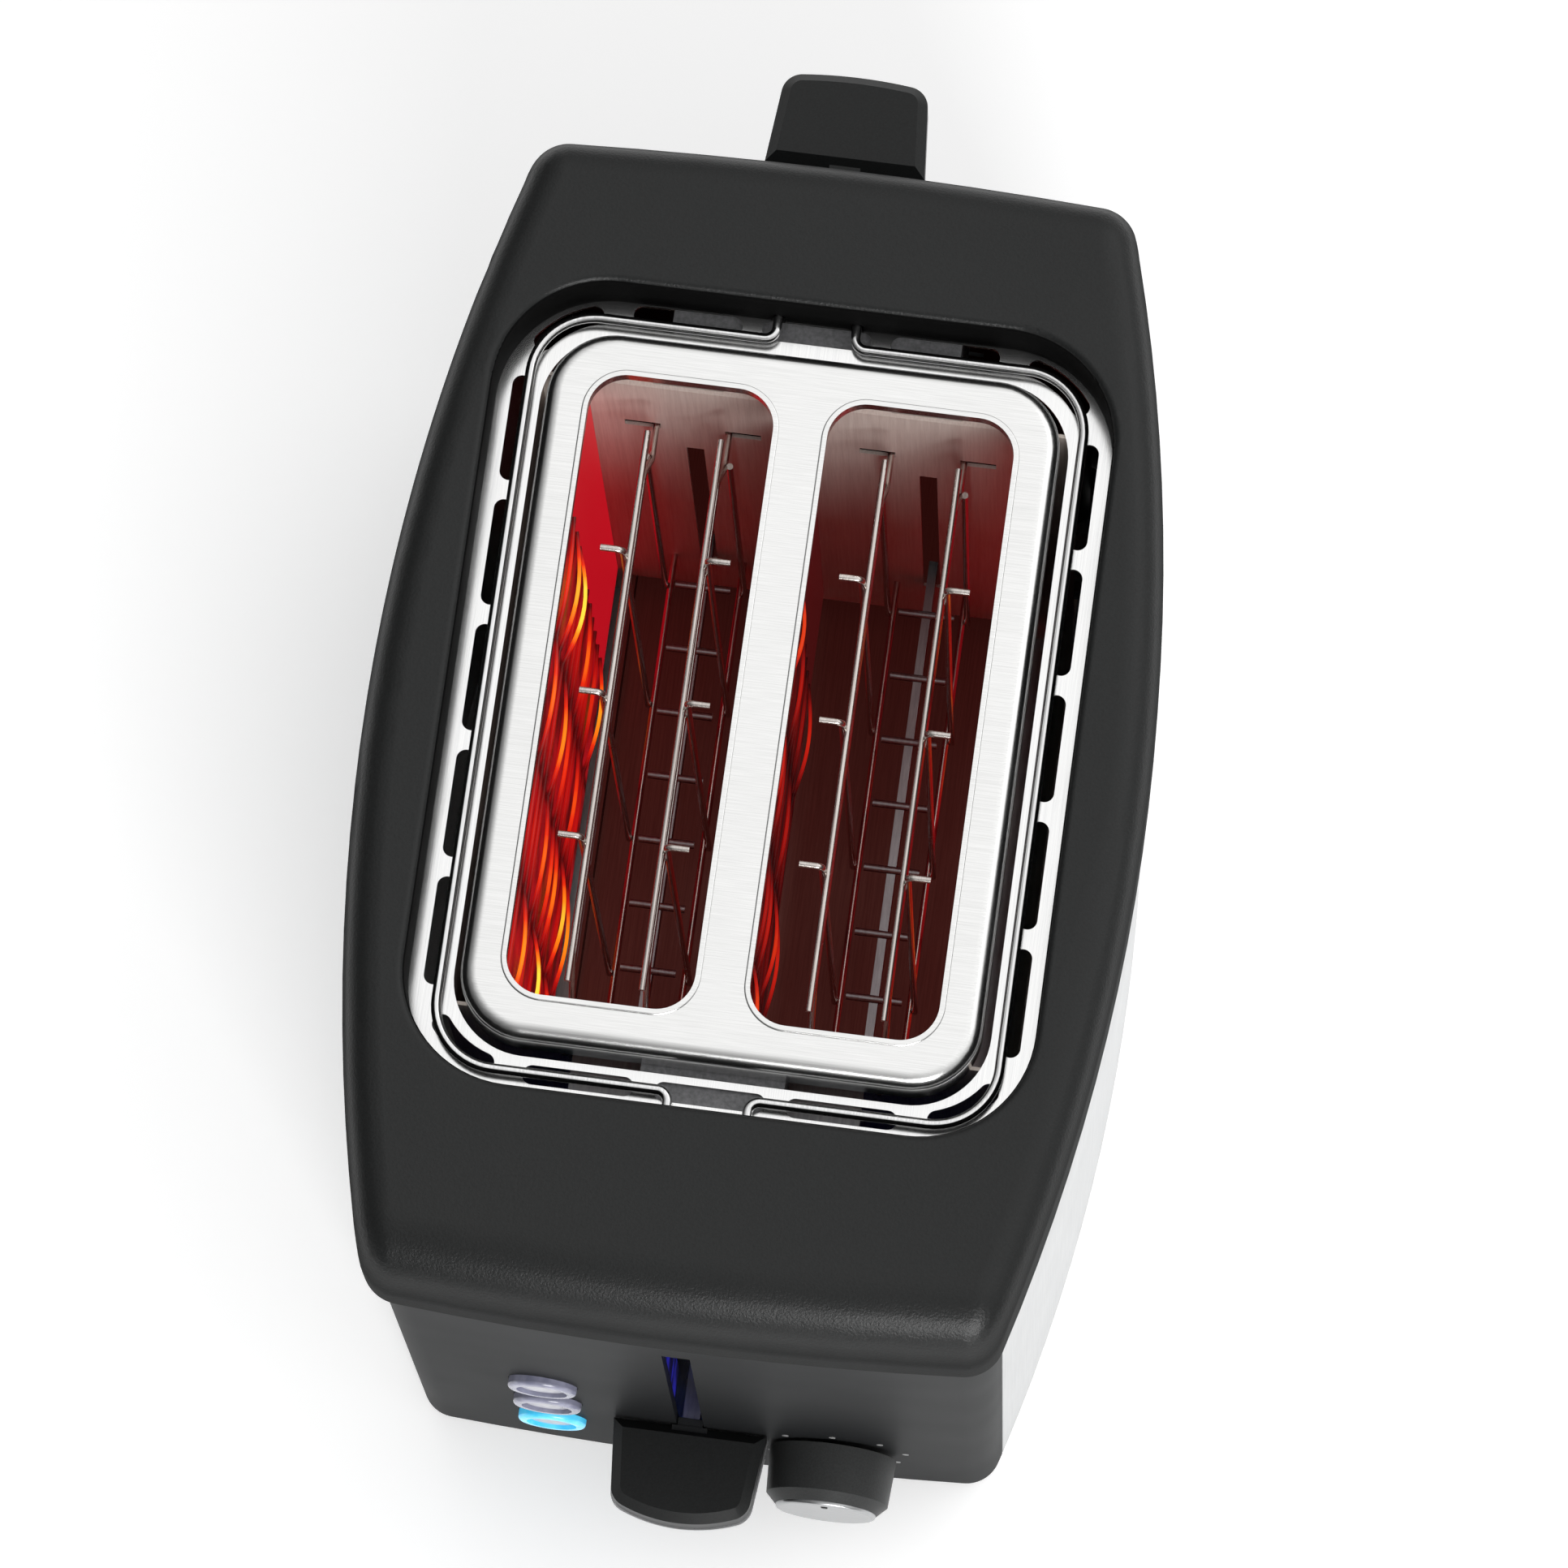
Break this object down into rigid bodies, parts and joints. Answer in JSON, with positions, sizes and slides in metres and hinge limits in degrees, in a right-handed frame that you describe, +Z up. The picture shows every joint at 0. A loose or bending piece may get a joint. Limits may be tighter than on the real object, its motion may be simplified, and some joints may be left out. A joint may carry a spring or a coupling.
{
  "type": "pop up toaster",
  "caption": "Pop-up toaster with long bread slots, a swing-up wire bun rack, a front lever, a browning knob, push buttons and a pull-out crumb tray.",
  "frame": {"origin": "on the table, under the middle of the overall box", "axes": "+Z up, -Y towards the control end with the lever, +X to the right for someone who faces the controls"},
  "size_m": [0.1712, 0.3111, 0.193],
  "materials": {
    "bright_wire": "polished wire",
    "button_clear": "translucent light grey plastic",
    "button_lit": "translucent plastic lit from behind",
    "button_ring": "translucent lavender grey plastic",
    "circuit": "green circuit board",
    "copper": "enamelled copper winding",
    "cover_plastic": "black heat-resistant plastic, very fine grain",
    "guard_wire": "plain steel wire, heat tinted",
    "heating_alloy": "resistance ribbon, glowing",
    "inner_plastic": "grey glass-filled plastic, fine grain",
    "lamp": "small lamp",
    "lever_plastic": "black satin plastic",
    "light_guide": "tinted clear plastic lit from inside",
    "magnet_iron": "laminated iron",
    "mica": "mica sheet",
    "panel_plastic": "dark semi-gloss plastic",
    "reflector_sheet": "bright aluminised sheet, heat tinted",
    "rubber": "soft rubber",
    "side_metal": "satin silver sheet",
    "spring_steel": "spring wire",
    "stainless": "brushed stainless sheet with polished beads",
    "switch_plastic": "black switch housings",
    "trim_metal": "satin silver trim",
    "zinc_sheet": "galvanised sheet"
  },
  "bodies": {
    "housing": {"base_plate": "zinc_sheet", "button_rings": "button_ring", "button_switches": "switch_plastic", "chassis_front_wall": "zinc_sheet", "chassis_rear_wall": "zinc_sheet", "control_board": "circuit", "cord_gland": "panel_plastic", "electromagnet_coil": "copper", "electromagnet_core": "magnet_iron", "front_panel": "panel_plastic", "guide_bracket": "zinc_sheet", "guide_rod": "zinc_sheet", "heater_board_centre": "mica", "heater_board_left": "mica", "heater_board_right": "mica", "heating_wire_centre": "heating_alloy", "heating_wire_left": "heating_alloy", "heating_wire_right": "heating_alloy", "indicator_lamps": "lamp", "potentiometer": "switch_plastic", "rack_bearing_front": "inner_plastic", "rack_bearing_rear": "inner_plastic", "rear_panel": "panel_plastic", "reflector_left": "reflector_sheet", "reflector_right": "reflector_sheet", "return_spring": "spring_steel", "rubber_feet": "rubber", "screws": "zinc_sheet", "side_panel_left": "side_metal", "side_panel_right": "side_metal", "slit_light_guides": "light_guide", "slot_plate": "stainless", "terminal_block": "inner_plastic", "timer_board": "circuit", "top_cover": "cover_plastic", "vent_plate": "stainless"},
    "carriage": {"carriage_bracket": "zinc_sheet", "bread_rest_left": "zinc_sheet", "bread_rest_right": "zinc_sheet", "front_lever": "lever_plastic", "front_lever_trim": "trim_metal", "armature": "magnet_iron"},
    "guard_left_outer": {"bread_guard_left_outer": "guard_wire"},
    "guard_left_inner": {"bread_guard_left_inner": "guard_wire"},
    "guard_right_inner": {"bread_guard_right_inner": "guard_wire"},
    "guard_right_outer": {"bread_guard_right_outer": "guard_wire"},
    "rack_lever": {"rear_lever": "cover_plastic", "rack_slider": "inner_plastic"},
    "rack_left": {"bun_rack_left": "bright_wire", "rack_crank_left": "inner_plastic"},
    "rack_right": {"bun_rack_right": "bright_wire", "rack_crank_right": "inner_plastic"},
    "knob": {"browning_knob": "cover_plastic", "knob_end_cap": "trim_metal", "knob_shaft": "zinc_sheet"},
    "button_upper": {"upper_button": "button_clear"},
    "button_middle": {"middle_button": "button_clear"},
    "button_lower": {"lower_button": "button_lit"},
    "tray": {"crumb_tray": "zinc_sheet", "crumb_tray_handle": "panel_plastic"}
  },
  "joints": [
    {"name": "carriage_slide", "type": "slide", "parent": "housing", "child": "carriage", "axis": [0, 0, 1], "range_m": [0, 0.082], "deforming": ["return_spring"]},
    {"name": "guard_left_outer_swing", "type": "hinge", "parent": "housing", "child": "guard_left_outer", "pos_m": [-0.03465, 0.00255, 0.042], "axis": [0, -1, 0], "range_deg": [0, 3.4]},
    {"name": "guard_left_inner_swing", "type": "hinge", "parent": "housing", "child": "guard_left_inner", "pos_m": [-0.01825, 0.00255, 0.042], "axis": [0, 1, 0], "range_deg": [0, 3.4]},
    {"name": "guard_right_inner_swing", "type": "hinge", "parent": "housing", "child": "guard_right_inner", "pos_m": [0.01825, 0.00255, 0.042], "axis": [0, -1, 0], "range_deg": [0, 3.4]},
    {"name": "guard_right_outer_swing", "type": "hinge", "parent": "housing", "child": "guard_right_outer", "pos_m": [0.03465, 0.00255, 0.042], "axis": [0, 1, 0], "range_deg": [0, 3.4]},
    {"name": "rack_lever_slide", "type": "slide", "parent": "housing", "child": "rack_lever", "axis": [0, 0, -1], "range_m": [0, 0.0113]},
    {"name": "rack_left_swing", "type": "hinge", "parent": "housing", "child": "rack_left", "pos_m": [-0.0087, 0.00255, 0.181], "axis": [0, 1, 0], "range_deg": [0, 57]},
    {"name": "rack_right_swing", "type": "hinge", "parent": "housing", "child": "rack_right", "pos_m": [0.0087, 0.00255, 0.181], "axis": [0, -1, 0], "range_deg": [0, 57]},
    {"name": "knob_turn", "type": "hinge", "parent": "housing", "child": "knob", "pos_m": [0.0307, -0.12, 0.0358], "axis": [0, 1, 0], "range_deg": [-120, 120]},
    {"name": "upper_button_press", "type": "slide", "parent": "housing", "child": "button_upper", "axis": [0, 1, 0], "range_m": [0, 0.0015], "stiffness_N_per_m": 300, "springref_m": -0.001},
    {"name": "middle_button_press", "type": "slide", "parent": "housing", "child": "button_middle", "axis": [0, 1, 0], "range_m": [0, 0.0015], "stiffness_N_per_m": 300, "springref_m": -0.001},
    {"name": "lower_button_press", "type": "slide", "parent": "housing", "child": "button_lower", "axis": [0, 1, 0], "range_m": [0, 0.0015], "stiffness_N_per_m": 300, "springref_m": -0.001},
    {"name": "crumb_tray_slide", "type": "slide", "parent": "housing", "child": "tray", "axis": [0, 1, 0], "range_m": [0, 0.175]}
  ],
  "couplings": [
    {"joint": "guard_left_outer_swing", "follows": "carriage_slide", "rad_per_m": 0.7236},
    {"joint": "guard_left_inner_swing", "follows": "carriage_slide", "rad_per_m": 0.7236},
    {"joint": "guard_right_inner_swing", "follows": "carriage_slide", "rad_per_m": 0.7236},
    {"joint": "guard_right_outer_swing", "follows": "carriage_slide", "rad_per_m": 0.7236},
    {"joint": "rack_left_swing", "follows": "rack_lever_slide", "rad_per_m": 87.93},
    {"joint": "rack_right_swing", "follows": "rack_lever_slide", "rad_per_m": 87.93}
  ]
}
